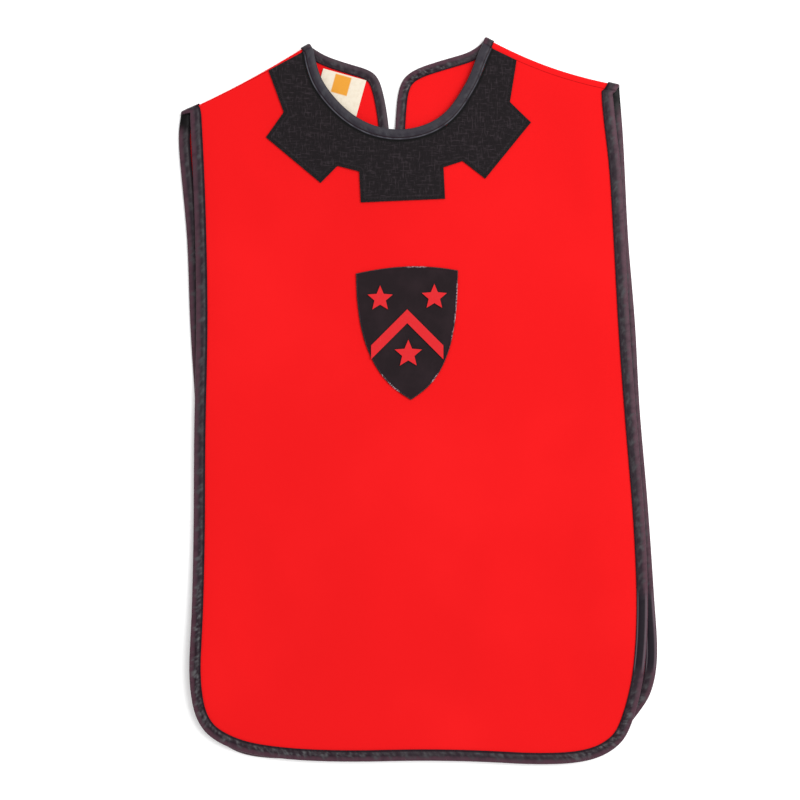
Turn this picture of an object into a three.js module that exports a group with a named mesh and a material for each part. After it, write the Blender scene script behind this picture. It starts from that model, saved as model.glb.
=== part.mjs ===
// A child's knight tabard lying flat: an open-sided front laid on its back, joined at the shoulders.
// Millimetres. +X runs across the garment, +Y towards the neck and +Z up off the surface it lies on.
// Shapes are drawn in each panel's own plan, where the cloth past a shoulder fold is rolled out flat.

import * as THREE from 'three';
import { TessellateModifier } from 'three/addons/modifiers/TessellateModifier.js';

// Cloth and tape
const PANEL_WALL = 1.2;
const TAPE_WALL = 1;
const PIECE_GAP = 0.3;
const EDGE_TAPE_WIDTH = 10;
const NECK_TAPE_WIDTH = 9.5;
const NECK_TAPE_TOP_WALL = 1.5;
const COLLAR_WALL = 1;
const PATCH_WALL = 1;
const FIGURE_WALL = 1;
const LABEL_WALL = 1;

// How the layers rest on each other
const FOLD_RADIUS = 2.8;
const FRONT_REST = 2.2;
const BACK_REST = PANEL_WALL / 2;
const TAPE_REST = PANEL_WALL / 2 + PIECE_GAP + TAPE_WALL;
const BACK_EDGE_RISE = TAPE_REST - BACK_REST;
const FRONT_EDGE_RISE = 3.9;
const OVER_SLIT_SHARE = 0.68;
const RISE_KEPT = 14;
const RISE_GONE = 72;
const SHOULDER_SWELL = 62;
const TURN_LENGTH = 15;
const NECK_MIDDLE = -20;

// Each shoulder's crown, from its neck end to its armhole end. bow lifts the crown's middle.
// The seam lies on the front side of the crown. Past the crown the side edge slips in from the back's:
// by seamSlip at the seam, and by frontSlip where the front lies flat.
const SHOULDERS = {
  left: {
    neck: [-102, 336], armhole: [-225, 270], bow: -2.3, seamAtNeck: 4.8, seamAtArmhole: 0.8,
    tapeAtFold: 18, seamSlip: 3, frontSlip: 10.5, hand: 1,
  },
  right: {
    neck: [62.5, 342], armhole: [190, 297], bow: -5.5, seamAtNeck: 7.5, seamAtArmhole: 7.5,
    tapeAtFold: 10, seamSlip: 3, frontSlip: 5, hand: -1,
  },
};

// Sides of each panel, a row for each level below the shoulder.
const FRONT_SIDES = [
  { level: 266, left: -214, right: 184.5 },
  { level: 223, left: -212, right: 189.5 },
  { level: 152, left: -209.5, right: 194 },
  { level: 67, left: -208.5, right: 198.5 },
  { level: -27, left: -210.5, right: 205.5 },
  { level: -121, left: -211, right: 213 },
  { level: -206, left: -212.5, right: 215.5 },
  { level: -262, left: -214.5, right: 211 },
];
const BACK_SIDES = [
  { level: 250, left: -225.5, right: 192.5 },
  { level: 152, left: -217.5, right: 197.5 },
  { level: 67, left: -214.5, right: 204.5 },
  { level: 1, left: -210, right: 207.5 },
  { level: -92, left: -207, right: 215.5 },
  { level: -187, left: -205, right: 222 },
  { level: -243, left: -203.5, right: 225 },
];

// The lower edge, a row for each turn of the corners and each wave of the hem.
const FRONT_HEM = [
  { at: 'left corner', x: -207, y: -301 },
  { at: 'left turn', x: -193, y: -316 },
  { at: 'hem', x: -167.5, y: -328.5 },
  { at: 'hem', x: -125, y: -335.5 },
  { at: 'hem', x: -68.5, y: -338 },
  { at: 'middle', x: 2.5, y: -337 },
  { at: 'hem', x: 59, y: -338 },
  { at: 'hem', x: 110.5, y: -340.5 },
  { at: 'hem', x: 153, y: -338.5 },
  { at: 'hem', x: 176, y: -331.5 },
  { at: 'right turn', x: 193.5, y: -316.5 },
  { at: 'right corner', x: 203.5, y: -292.5 },
];
const BACK_HEM = [
  { at: 'left corner', x: -199, y: -290 },
  { at: 'left turn', x: -189, y: -316 },
  { at: 'hem', x: -170.5, y: -330 },
  { at: 'hem', x: -139, y: -335.5 },
  { at: 'hem', x: -68.5, y: -335 },
  { at: 'middle', x: 0, y: -334.5 },
  { at: 'hem', x: 58, y: -334.5 },
  { at: 'hem', x: 115.5, y: -336 },
  { at: 'hem', x: 162.5, y: -330 },
  { at: 'hem', x: 189, y: -314 },
  { at: 'right turn', x: 211, y: -287.5 },
  { at: 'right corner', x: 219.5, y: -273.5 },
];

// The neck edges, from the left shoulder to the right one.
const FRONT_NECK = [
  { at: 'left', x: -98, y: 325 },
  { at: 'left', x: -86.5, y: 299 },
  { at: 'left', x: -63.5, y: 273.5 },
  { at: 'left', x: -42, y: 261.5 },
  { at: 'middle', x: -18.5, y: 257.5 },
  { at: 'right', x: 6, y: 262 },
  { at: 'right', x: 25, y: 274 },
  { at: 'right', x: 45, y: 304.5 },
];
const BACK_NECK_LEFT = [
  { at: 'neckline', x: -88.5, y: 326 },
  { at: 'neckline', x: -55.5, y: 315 },
  { at: 'neckline', x: -44, y: 311.5 },
  { at: 'slit top', x: -38.5, y: 307 },
  { at: 'slit', x: -35.5, y: 299 },
  { at: 'slit', x: -29.5, y: 269.5 },
  { at: 'slit end', x: -24.7, y: 205.5 },
];
const BACK_NECK_RIGHT = [
  { at: 'neckline', x: 51.5, y: 330.5 },
  { at: 'neckline', x: 26, y: 322.5 },
  { at: 'neckline', x: -5, y: 312 },
  { at: 'slit top', x: -14, y: 305.5 },
  { at: 'slit', x: -18, y: 296 },
  { at: 'slit', x: -21.5, y: 258 },
  { at: 'slit end', x: -23.3, y: 205.5 },
];

// Where the panels' rows of facets fall: in the fold, beside the neckline, beside the slit, and below.
const FRONT_ROWS = { fold: 4, neckline: 10, slit: 0, skirt: 17, besideNeckline: 95, besideSlit: 0 };
const BACK_ROWS = { fold: 8, neckline: 7, slit: 7, skirt: 15, besideNeckline: 50, besideSlit: 105 };
const PANEL_COLUMNS = 10;
const COLUMN_GRADE = 1.3;
const NECK_GRADE = 1.2;
const SKIRT_GRADE = 1.35;
const SLIT_CLOSE = 0.006;

// The front's broad soft folds: middle, direction in degrees from +X, half length, half width, height.
const FRONT_FOLDS = [
  { x: -150, y: 60, heading: 84, length: 190, width: 58, height: 1.5 },
  { x: 118, y: 120, heading: 97, length: 170, width: 60, height: 1.4 },
  { x: -62, y: -190, heading: 78, length: 170, width: 62, height: 1.6 },
  { x: 70, y: -225, heading: 104, length: 130, width: 56, height: 1.5 },
  { x: 165, y: -150, heading: 86, length: 140, width: 50, height: 1.1 },
  { x: -168, y: -235, heading: 100, length: 110, width: 48, height: 1.2 },
];

// The collar's cut edge, a row for each corner of its five tabs. neck is where along the neck edge,
// from 0 at the left seam to 1 at the right one, the cloth runs out to that corner.
const COLLAR_SPREAD = { left: 46, right: 35 };
const COLLAR_TABS = [
  { corner: 'notch', neck: 0.14, x: -126.5, y: 272.5 },
  { corner: 'tab', neck: 0.18, x: -143.5, y: 249 },
  { corner: 'tab', neck: 0.3, x: -92, y: 206 },
  { corner: 'notch', neck: 0.33, x: -76, y: 222 },
  { corner: 'notch', neck: 0.4, x: -55.5, y: 216.5 },
  { corner: 'tab', neck: 0.42, x: -54, y: 187.5 },
  { corner: 'tab', neck: 0.58, x: 25, y: 191 },
  { corner: 'notch', neck: 0.61, x: 23.5, y: 220.5 },
  { corner: 'notch', neck: 0.67, x: 41.5, y: 226.5 },
  { corner: 'tab', neck: 0.7, x: 63, y: 210 },
  { corner: 'tab', neck: 0.82, x: 106, y: 263 },
  { corner: 'notch', neck: 0.86, x: 86, y: 282 },
];
const COLLAR_RINGS = 5;
const COLLAR_STEP = 12.5;
const COLLAR_NECK_STEP = 6;
const COLLAR_SEAM_STEPS = 2;
const COLLAR_GRADE = 1.9;

// Shield patch and the plain figures on it
const SHIELD = {
  left: -58.5, right: 37, leftTop: 120.5, rightTop: 123.5, crownX: -8, crownY: 132.5,
  tipX: -7, tipY: 2, waist: 61, leftHip: -44, rightHip: 28, hipY: 20,
};
const SHIELD_STEP = 20;
const FIGURE_STEP = 16;
const CURVE_STEPS = 7;
const CHEVRON = { x: -10.5, apex: 87, reach: 34, drop: 34, arm: 13 };
const STARS = [
  { name: 'star_left', x: -36, y: 97, radius: 12.5 },
  { name: 'star_right', x: 15, y: 98.5, radius: 12.5 },
  { name: 'star_base', x: -9.5, y: 45, radius: 13.5 },
];
const STAR_POINTS = 5;
const STAR_WAIST = 0.45;

// Neck label, hung from just below the back neckline
const LABEL = { x: -89.5, y: 313.8, width: 42, length: 48, tilt: -15.6, step: 12 };

// Colours and finishes
const RED_CLOTH = { color: 0xf51e20, roughness: 0.75, metalness: 0 };
const BLACK_TAPE = { color: 0x352f34, roughness: 0.5, metalness: 0 };
const BLACK_LINEN = { color: 0x231f21, roughness: 0.9, metalness: 0 };
const BLACK_SATIN = { color: 0x262023, roughness: 0.55, metalness: 0 };
const RED_FIGURE = { color: 0xd81f26, roughness: 0.6, metalness: 0 };
const CREAM_LABEL = { color: 0xf5ebd7, roughness: 0.6, metalness: 0 };

// Sampling of curves and of surface directions
const FINE_STEPS = 240;
const PROBE = 0.05;
const SLACK = 0.002;

const { lerp, smoothstep, degToRad } = THREE.MathUtils;

const vector = (x, y) => new THREE.Vector2(x, y);
const planCurve = (points) => new THREE.CatmullRomCurve3(
  points.map((point) => new THREE.Vector3(point.x, point.y, 0)), false, 'centripetal',
);

// ---- Shoulder folds -------------------------------------------------------------------------------

for (const shoulder of Object.values(SHOULDERS)) {
  shoulder.start = vector(...shoulder.neck);
  const crown = vector(...shoulder.armhole).sub(shoulder.start);
  shoulder.length = crown.length();
  shoulder.outward = crown.clone().normalize();
  shoulder.up = vector(-shoulder.outward.y, shoulder.outward.x).multiplyScalar(-shoulder.hand);
}

const shoulderAt = (x) => (x < NECK_MIDDLE ? SHOULDERS.left : SHOULDERS.right);

function crownRise(shoulder, along) {
  const share = THREE.MathUtils.clamp(along / shoulder.length, 0, 1);
  return 4 * shoulder.bow * share * (1 - share);
}

// How far a point of a panel's plan lies past the line where the cloth starts to turn over.
function pastFold(shoulder, x, y) {
  const from = vector(x, y).sub(shoulder.start);
  return from.dot(shoulder.up) - crownRise(shoulder, from.dot(shoulder.outward)) + FOLD_RADIUS;
}

// A point in a panel's plan at a distance past the line where its fold starts.
function foldPoint(shoulder, along, past) {
  const height = crownRise(shoulder, along) - FOLD_RADIUS + past;
  return shoulder.start.clone().addScaledVector(shoulder.outward, along).addScaledVector(shoulder.up, height);
}

// How far past the start of a panel's fold its shoulder seam lies: halfway round and on to the front.
function seamPast(side, shoulder, along) {
  const toFront = lerp(shoulder.seamAtNeck, shoulder.seamAtArmhole, along / shoulder.length);
  const quarterTurn = (FOLD_RADIUS * Math.PI) / 2;
  return quarterTurn + (side === 'back' ? toFront : -toFront) - PIECE_GAP / 2;
}

// A point of a panel's plan in its shoulder fold. share runs from the seam to where the cloth lies flat.
function foldPlace(side, shoulder, along, share) {
  const seam = seamPast(side, shoulder, along);
  const flat = Math.min(0, seam - FOLD_RADIUS);
  return foldPoint(shoulder, along, lerp(seam, flat, share));
}

// ---- Bound edges ----------------------------------------------------------------------------------

// A station on a bound edge: place gives the point of the plan at an inset from the edge.
const station = (edge, inward, width) => ({
  edge, inward, width, place: (inset) => edge.clone().addScaledVector(inward, inset),
});

// Stations along part of a smooth curve through named rows.
function stationsAlong(curve, from, to, shares, hand, width) {
  const reach = reachAlong(curve, from, to);
  return shares.map((share) => {
    const target = share * reach[FINE_STEPS];
    const next = Math.max(1, reach.findIndex((length) => length >= target - SLACK));
    const part = (target - reach[next - 1]) / (reach[next] - reach[next - 1]);
    const at = lerp(from, to, (next - 1 + part) / FINE_STEPS) / (curve.points.length - 1);
    const place = curve.getPoint(at);
    const ahead = curve.getTangent(at);
    return station(vector(place.x, place.y), vector(-ahead.y, ahead.x).multiplyScalar(hand), width);
  });
}

// The length run so far at fine steps along part of a curve.
function reachAlong(curve, from, to) {
  const reach = [0];
  const last = curve.points.length - 1;
  let before = curve.getPoint(from / last);
  for (let k = 1; k <= FINE_STEPS; k += 1) {
    const point = curve.getPoint(lerp(from, to, k / FINE_STEPS) / last);
    reach.push(reach[k - 1] + point.distanceTo(before));
    before = point;
  }
  return reach;
}

// Stations round the fold, from the shoulder seam to where the edge lies flat again. end is 0 at the
// neck and 1 at the armhole.
function stationsInFold(side, shoulder, end, rows, slips, widths) {
  const inSign = end ? -1 : 1;
  return Array.from({ length: rows + 1 }, (_, k) => {
    const share = k / rows;
    const along = end * shoulder.length + inSign * lerp(slips.atSeam, slips.below, share);
    const place = (inset) => foldPlace(side, shoulder, along + inSign * inset, share);
    return { along, place, edge: place(0), width: lerp(widths.atSeam, widths.below, share) };
  });
}

// Below the fold the way in turns from along the seam to straight across the edge.
function belowFold(lastInFold, stations) {
  const alongFold = lastInFold.place(lastInFold.width).sub(lastInFold.edge).normalize();
  let reach = 0;
  return stations.slice(1).map(({ edge, inward, width }, k) => {
    reach += edge.distanceTo(stations[k].edge);
    const share = smoothstep(reach, 0, TURN_LENGTH);
    return station(edge, alongFold.clone().lerp(inward, share).normalize(), width);
  });
}

const shares = (rows, grade) => Array.from({ length: rows + 1 }, (_, k) => (k / rows) ** grade);
const easedShares = (rows, grade) => shares(rows, grade).map((share) => 1 - share).reverse();
const rowNamed = (rows, name) => rows.findIndex((row) => row.at === name);

// Rows from the neckline's or slit's lowest point down to the hem. The first closes the slit below its end.
function skirtShares(rows) {
  const below = easedShares(rows.skirt, SKIRT_GRADE).slice(1);
  return rows.slit ? [SLIT_CLOSE, ...below] : below;
}

// One half of a panel's bound edges: down the side, along the hem to the middle, and down the neck edge.
function halfEdges(side, end, sides, hem, neckRows, neckEnds, rows) {
  const shoulder = SHOULDERS[end];
  const inSign = shoulder.hand;
  const slips = { atSeam: shoulder.seamSlip, below: side === 'front' ? shoulder.frontSlip : 0 };
  const sidePoints = sides.map((row) => vector(row[end], row.level));
  const hemPoints = end === 'left' ? hem : [...hem].reverse();
  const sideFold = stationsInFold(
    side, shoulder, 1, rows.fold, slips, { atSeam: shoulder.tapeAtFold, below: EDGE_TAPE_WIDTH },
  );
  const neckWidths = { atSeam: NECK_TAPE_WIDTH, below: NECK_TAPE_WIDTH };
  const neckFold = stationsInFold(side, shoulder, 0, rows.fold, { atSeam: 0, below: 0 }, neckWidths);
  const outline = planCurve([sideFold[rows.fold].edge, ...sidePoints, ...hemPoints]);
  const turn = 1 + sidePoints.length + rowNamed(hemPoints, `${end} turn`);
  const middle = 1 + sidePoints.length + rowNamed(hemPoints, 'middle');
  const sideLength = reachAlong(outline, 0, turn)[FINE_STEPS];
  const down = rows.besideNeckline;
  const further = down + rows.besideSlit;
  const sideShares = [
    ...shares(rows.neckline, NECK_GRADE).map((share) => (share * down) / sideLength),
    ...shares(rows.slit, 1).slice(1).map((share) => (down + share * rows.besideSlit) / sideLength),
    ...skirtShares(rows).map((share) => lerp(further / sideLength, 1, share)),
  ];
  const sideFlat = stationsAlong(outline, 0, turn, sideShares, inSign, EDGE_TAPE_WIDTH);
  const hemShares = shares(PANEL_COLUMNS, COLUMN_GRADE);
  const neckCurve = planCurve([neckFold[rows.fold].edge, ...neckRows]);
  const [neckTop, neckEnd] = neckEnds.map((name) => 1 + rowNamed(neckRows, name));
  const neckShares = shares(rows.neckline, NECK_GRADE);
  const slitShares = rows.slit ? shares(rows.slit, 1).slice(1) : [];
  const neckFlat = [
    ...stationsAlong(neckCurve, 0, neckTop, neckShares, -inSign, NECK_TAPE_WIDTH),
    ...stationsAlong(neckCurve, neckTop, neckEnd, slitShares, -inSign, NECK_TAPE_WIDTH),
  ];
  return {
    side, shoulder,
    sideEdge: [...sideFold, ...belowFold(sideFold[rows.fold], sideFlat)],
    hemEdge: stationsAlong(outline, turn, middle, hemShares, inSign, EDGE_TAPE_WIDTH),
    neckEdge: [...neckFold, ...belowFold(neckFold[rows.fold], neckFlat)],
  };
}

const frontNeckFrom = (end) => {
  const middle = rowNamed(FRONT_NECK, 'middle');
  return end === 'left' ? FRONT_NECK.slice(0, middle + 2) : FRONT_NECK.slice(middle - 1).reverse();
};
const FRONT_HALVES = ['left', 'right'].map((end) => halfEdges(
  'front', end, FRONT_SIDES, FRONT_HEM, frontNeckFrom(end), ['middle', 'middle'], FRONT_ROWS,
));
const BACK_HALVES = [
  halfEdges('back', 'left', BACK_SIDES, BACK_HEM, BACK_NECK_LEFT, ['slit top', 'slit end'], BACK_ROWS),
  halfEdges('back', 'right', BACK_SIDES, BACK_HEM, BACK_NECK_RIGHT, ['slit top', 'slit end'], BACK_ROWS),
];

// ---- How high each panel lies ---------------------------------------------------------------------

const edgePoints = (stations) => stations.map((station) => station.edge);
const outlineOf = (halves) => halves.flatMap((half) => [
  edgePoints(half.sideEdge.slice(rowsInFold(half))), edgePoints(half.hemEdge),
]);
const neckOf = (halves) => halves.map((half) => edgePoints(half.neckEdge.slice(rowsInFold(half))));

function rowsInFold(half) {
  return half.side === 'front' ? FRONT_ROWS.fold : BACK_ROWS.fold;
}

const FRONT_OUTLINE = outlineOf(FRONT_HALVES);
const BACK_OUTLINE = outlineOf(BACK_HALVES);
const FRONT_NECKLINE = neckOf(FRONT_HALVES);
const BACK_NECKLINE = neckOf(BACK_HALVES);

function distanceTo(lines, x, y) {
  let nearest = Infinity;
  for (const line of lines) {
    for (let k = 1; k < line.length; k += 1) {
      const run = line[k].clone().sub(line[k - 1]);
      const from = vector(x, y).sub(line[k - 1]);
      const share = THREE.MathUtils.clamp(from.dot(run) / Math.max(run.lengthSq(), SLACK), 0, 1);
      nearest = Math.min(nearest, from.addScaledVector(run, -share).length());
    }
  }
  return nearest;
}

const rise = (lines, x, y) => 1 - smoothstep(distanceTo(lines, x, y), RISE_KEPT, RISE_GONE);
const bell = (share) => (Math.abs(share) < 1 ? Math.cos((share * Math.PI) / 2) ** 2 : 0);

function foldsHeight(x, y) {
  let height = 0;
  for (const fold of FRONT_FOLDS) {
    const heading = degToRad(fold.heading);
    const along = (x - fold.x) * Math.cos(heading) + (y - fold.y) * Math.sin(heading);
    const across = (y - fold.y) * Math.cos(heading) - (x - fold.x) * Math.sin(heading);
    height += fold.height * bell(along / fold.length) * bell(across / fold.width);
  }
  return height;
}

function backHeight(x, y) {
  const flat = (1 - rise(BACK_OUTLINE, x, y)) * (1 - rise(BACK_NECKLINE, x, y));
  return BACK_REST + BACK_EDGE_RISE * (1 - flat);
}

function frontHeight(x, y) {
  const overSlit = OVER_SLIT_SHARE * rise(BACK_NECKLINE, x, y);
  const flat = (1 - rise(FRONT_OUTLINE, x, y)) * (1 - rise(FRONT_NECKLINE, x, y)) * (1 - overSlit);
  const laid = FRONT_REST + FRONT_EDGE_RISE * (1 - flat) + foldsHeight(x, y);
  const inside = -pastFold(shoulderAt(x), x, y);
  return lerp(backHeight(x, y) + 2 * FOLD_RADIUS, laid, smoothstep(inside, 0, SHOULDER_SWELL));
}

// The middle of a panel's cloth, in space, at a point of its plan.
function clothPoint(side, x, y) {
  const own = side === 'back' ? backHeight : frontHeight;
  const shoulder = shoulderAt(x);
  const past = pastFold(shoulder, x, y);
  if (past <= 0) return new THREE.Vector3(x, y, own(x, y));
  const base = vector(x, y).addScaledVector(shoulder.up, -past);
  const turn = past / FOLD_RADIUS;
  if (turn < Math.PI) {
    const place = base.clone().addScaledVector(shoulder.up, FOLD_RADIUS * Math.sin(turn));
    const climb = side === 'back' ? 1 - Math.cos(turn) : 1 + Math.cos(turn);
    return new THREE.Vector3(place.x, place.y, backHeight(base.x, base.y) + FOLD_RADIUS * climb);
  }
  const place = base.clone().addScaledVector(shoulder.up, FOLD_RADIUS * Math.PI - past);
  const other = side === 'back' ? frontHeight : backHeight;
  return new THREE.Vector3(place.x, place.y, other(place.x, place.y));
}

// A point of a panel's plan moved out from the middle of its cloth.
function onCloth(side, x, y, out) {
  const across = clothPoint(side, x + PROBE, y).sub(clothPoint(side, x - PROBE, y));
  const along = clothPoint(side, x, y + PROBE).sub(clothPoint(side, x, y - PROBE));
  return clothPoint(side, x, y).addScaledVector(across.cross(along).normalize(), out);
}

// ---- Solids ---------------------------------------------------------------------------------------

// One closed wall between two matching skins, with sides where a facet's edge has no neighbour.
function wallBetween(outer, inner, facets) {
  const count = outer.length;
  const triangles = [];
  const edges = new Map();
  for (const [a, b, c] of facets) {
    triangles.push(a, b, c, count + a, count + c, count + b);
    for (const [from, to] of [[a, b], [b, c], [c, a]]) {
      const back = `${to},${from}`;
      if (edges.has(back)) edges.delete(back);
      else edges.set(`${from},${to}`, [from, to]);
    }
  }
  for (const [from, to] of edges.values()) {
    triangles.push(to, from, count + from, to, count + from, count + to);
  }
  const points = [...outer, ...inner];
  const volume = triangles.reduce((sum, _, k) => (k % 3 ? sum : sum
    + points[triangles[k]].dot(points[triangles[k + 1]].clone().cross(points[triangles[k + 2]]))), 0);
  if (volume < 0) triangles.reverse();
  const geometry = new THREE.BufferGeometry().setFromPoints(points);
  geometry.setIndex(triangles);
  geometry.computeVertexNormals();
  return geometry;
}

// Facets of a grid of rows and columns.
function gridFacets(rows, columns, number) {
  const facets = [];
  for (let j = 0; j < rows; j += 1) {
    for (let i = 0; i < columns; i += 1) {
      const [a, b, c, d] = [number(j, i), number(j + 1, i), number(j + 1, i + 1), number(j, i + 1)];
      facets.push([a, b, c], [a, c, d]);
    }
  }
  return facets;
}

// A piece sewn on a panel: each point is found on the panel's own facets and moved out from them.
function layerOn(ground, plan, facets, low, high) {
  const spots = plan.map((point) => {
    const middle = onFacets(ground, point);
    const away = onCloth(ground.side, point.x, point.y, 1).sub(clothPoint(ground.side, point.x, point.y));
    return { middle, away };
  });
  const skin = (out) => spots.map(({ middle, away }) => middle.clone().addScaledVector(away, out));
  return wallBetween(skin(high), skin(low), facets);
}

// The middle of a panel's cloth as its flat facets have it.
function onFacets(ground, point) {
  for (const facet of ground.facets) {
    const [a, b, c] = facet.map((number) => ground.plan[number]);
    const whole = b.clone().sub(a).cross(c.clone().sub(a));
    const towardB = point.clone().sub(a).cross(c.clone().sub(a)) / whole;
    const towardC = b.clone().sub(a).cross(point.clone().sub(a)) / whole;
    if (Math.min(towardB, towardC, 1 - towardB - towardC) > -SLACK) {
      const [pa, pb, pc] = facet.map((number) => ground.middle[number]);
      return pa.clone().multiplyScalar(1 - towardB - towardC)
        .addScaledVector(pb, towardB).addScaledVector(pc, towardC);
    }
  }
  return clothPoint(ground.side, point.x, point.y);
}

// Points of one half of a panel: rows round the fold, then rows across from its side to its neck edge
// or middle line, down to the hem.
function halfPlan(half, rows) {
  const inset = TAPE_WALL + PIECE_GAP;
  const cut = (stations) => stations.map((each) => each.place(inset));
  const across = shares(PANEL_COLUMNS, COLUMN_GRADE);
  const inFold = half.sideEdge.slice(0, rows.fold + 1).map(({ along }, k) => across.map((u) => (
    foldPlace(half.side, half.shoulder, lerp(along - inset, inset, u), k / rows.fold)
  )));
  const top = inFold.pop();
  const side = cut(half.sideEdge.slice(rows.fold));
  const hem = cut(half.hemEdge);
  const neck = cut(half.neckEdge.slice(rows.fold));
  const slitEnds = [BACK_NECK_LEFT, BACK_NECK_RIGHT].map((points) => points[points.length - 1]);
  const middleTop = rows.slit ? vector((slitEnds[0].x + slitEnds[1].x) / 2, slitEnds[0].y) : neck.at(-1);
  for (const share of skirtShares(rows)) {
    neck.push(middleTop.clone().lerp(hem.at(-1), share));
  }
  const [sideRuns, neckRuns] = [side, neck].map(runShares);
  const patch = side.map((_, j) => across.map((u, i) => {
    const v = (sideRuns[j] + neckRuns[j]) / 2;
    const rail = top[i].clone().multiplyScalar(1 - v).addScaledVector(hem[i], v);
    const rung = side[j].clone().multiplyScalar(1 - u).addScaledVector(neck[j], u);
    const corners = side[0].clone().multiplyScalar((1 - u) * (1 - v))
      .addScaledVector(neck[0], u * (1 - v))
      .addScaledVector(hem[0], (1 - u) * v)
      .addScaledVector(hem[PANEL_COLUMNS], u * v);
    return rail.add(rung).sub(corners);
  }));
  return [...inFold, ...patch];
}

// How far along a line of points each one lies, as a share of the whole.
function runShares(points) {
  const runs = [0];
  points.slice(1).forEach((point, k) => runs.push(runs[k] + point.distanceTo(points[k])));
  return runs.map((run) => run / runs.at(-1));
}

// A panel's two halves share the points of the middle line below the neck or the slit.
function panel(halves, rows) {
  const plan = [];
  const facets = [];
  const middleFrom = halves[0].neckEdge.length - (rows.slit ? 0 : 1);
  const middleLine = [];
  for (const half of halves) {
    const grid = halfPlan(half, rows);
    const numbers = grid.map((row, j) => row.map((point, i) => {
      const shared = i === PANEL_COLUMNS && j >= middleFrom;
      if (shared && middleLine[j] !== undefined) return middleLine[j];
      const number = plan.push(point) - 1;
      if (shared) middleLine[j] = number;
      return number;
    }));
    const own = gridFacets(grid.length - 1, PANEL_COLUMNS, (j, i) => numbers[j][i]);
    facets.push(...(half.shoulder.hand > 0 ? own : own.map(([a, b, c]) => [a, c, b])));
  }
  const { side } = halves[0];
  const skin = (out) => plan.map((point) => onCloth(side, point.x, point.y, out));
  const geometry = wallBetween(skin(PANEL_WALL / 2), skin(-PANEL_WALL / 2), facets);
  return { side, plan, facets, middle: skin(0), geometry };
}

// Tape folded round a bound edge: an outer and an inner skin of the same folded section.
function binding(side, stations, topWall) {
  const inner = PANEL_WALL / 2 + PIECE_GAP;
  const [top, bottom] = [inner + topWall, inner + TAPE_WALL];
  const outerSkin = [];
  const innerSkin = [];
  const leg = TAPE_WALL + PIECE_GAP;
  for (const { place, width } of stations) {
    const at = (inset, out) => onCloth(side, place(inset).x, place(inset).y, out);
    outerSkin.push(at(width, top), at(leg, top), at(0, 0), at(leg, -bottom), at(width, -bottom));
    innerSkin.push(
      at(width, inner), at(TAPE_WALL, inner), at(TAPE_WALL, 0), at(TAPE_WALL, -inner), at(width, -inner),
    );
  }
  const columns = outerSkin.length / stations.length;
  const facets = gridFacets(stations.length - 1, columns - 1, (j, i) => j * columns + i);
  return wallBetween(outerSkin, innerSkin, facets);
}

const joined = (left, right) => [...left, ...[...right].reverse().slice(1)];
const wholeEdge = ([left, right]) => joined(
  [...left.sideEdge, ...left.hemEdge.slice(1)], [...right.sideEdge, ...right.hemEdge.slice(1)],
);

// A flat piece sewn on a panel, from its outline in plan.
function applique(ground, shape, step, low, high) {
  const flat = new TessellateModifier(step, FINE_STEPS).modify(new THREE.ShapeGeometry(shape, CURVE_STEPS));
  const position = flat.getAttribute('position');
  const plan = [];
  const numbers = new Map();
  const corners = [];
  for (let k = 0; k < position.count; k += 1) {
    const key = `${position.getX(k).toFixed(2)},${position.getY(k).toFixed(2)}`;
    if (!numbers.has(key)) numbers.set(key, plan.push(vector(position.getX(k), position.getY(k))) - 1);
    corners.push(numbers.get(key));
  }
  const facets = [];
  for (let k = 0; k < corners.length; k += 3) facets.push(corners.slice(k, k + 3));
  return layerOn(ground, plan, facets, low, high);
}

const PANEL_FACE = PANEL_WALL / 2 + PIECE_GAP;

// The collar fans out from the neck binding to its cut edge.
function collar(ground) {
  const neck = joined(FRONT_HALVES[0].neckEdge, FRONT_HALVES[1].neckEdge);
  const reach = [0];
  neck.slice(1).forEach((station, k) => reach.push(reach[k] + station.edge.distanceTo(neck[k].edge)));
  const beside = NECK_TAPE_WIDTH + PIECE_GAP;
  const besideBinding = (share) => {
    const target = share * reach[reach.length - 1];
    const next = Math.max(1, reach.findIndex((length) => length >= target - SLACK));
    const part = (target - reach[next - 1]) / (reach[next] - reach[next - 1]);
    const [before, after] = [neck[next - 1], neck[next]].map((each) => each.place(beside));
    return before.lerp(after, part);
  };
  const corners = [
    { neck: 0, point: foldPlace('front', SHOULDERS.left, COLLAR_SPREAD.left, 0) },
    ...COLLAR_TABS.map((row) => ({ neck: row.neck, point: vector(row.x, row.y) })),
    { neck: 1, point: foldPlace('front', SHOULDERS.right, COLLAR_SPREAD.right, 0) },
  ];
  const spokes = [];
  corners.slice(1).forEach((corner, k) => {
    const before = corners[k];
    const cutLength = before.point.distanceTo(corner.point);
    const neckLength = (corner.neck - before.neck) * reach[reach.length - 1];
    const steps = Math.ceil(Math.max(cutLength / COLLAR_STEP, neckLength / COLLAR_NECK_STEP))
      + (k ? 0 : COLLAR_SEAM_STEPS);
    for (const share of shares(steps, k ? 1 : COLLAR_GRADE).slice(k ? 1 : 0)) {
      spokes.push([besideBinding(lerp(before.neck, corner.neck, share)),
        before.point.clone().lerp(corner.point, share)]);
    }
  });
  const plan = spokes.flatMap(([near, far]) => Array.from(
    { length: COLLAR_RINGS + 1 }, (_, i) => near.clone().lerp(far, i / COLLAR_RINGS),
  ));
  const facets = gridFacets(spokes.length - 1, COLLAR_RINGS, (j, i) => j * (COLLAR_RINGS + 1) + i);
  return layerOn(ground, plan, facets, PANEL_FACE, PANEL_FACE + COLLAR_WALL);
}

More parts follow.
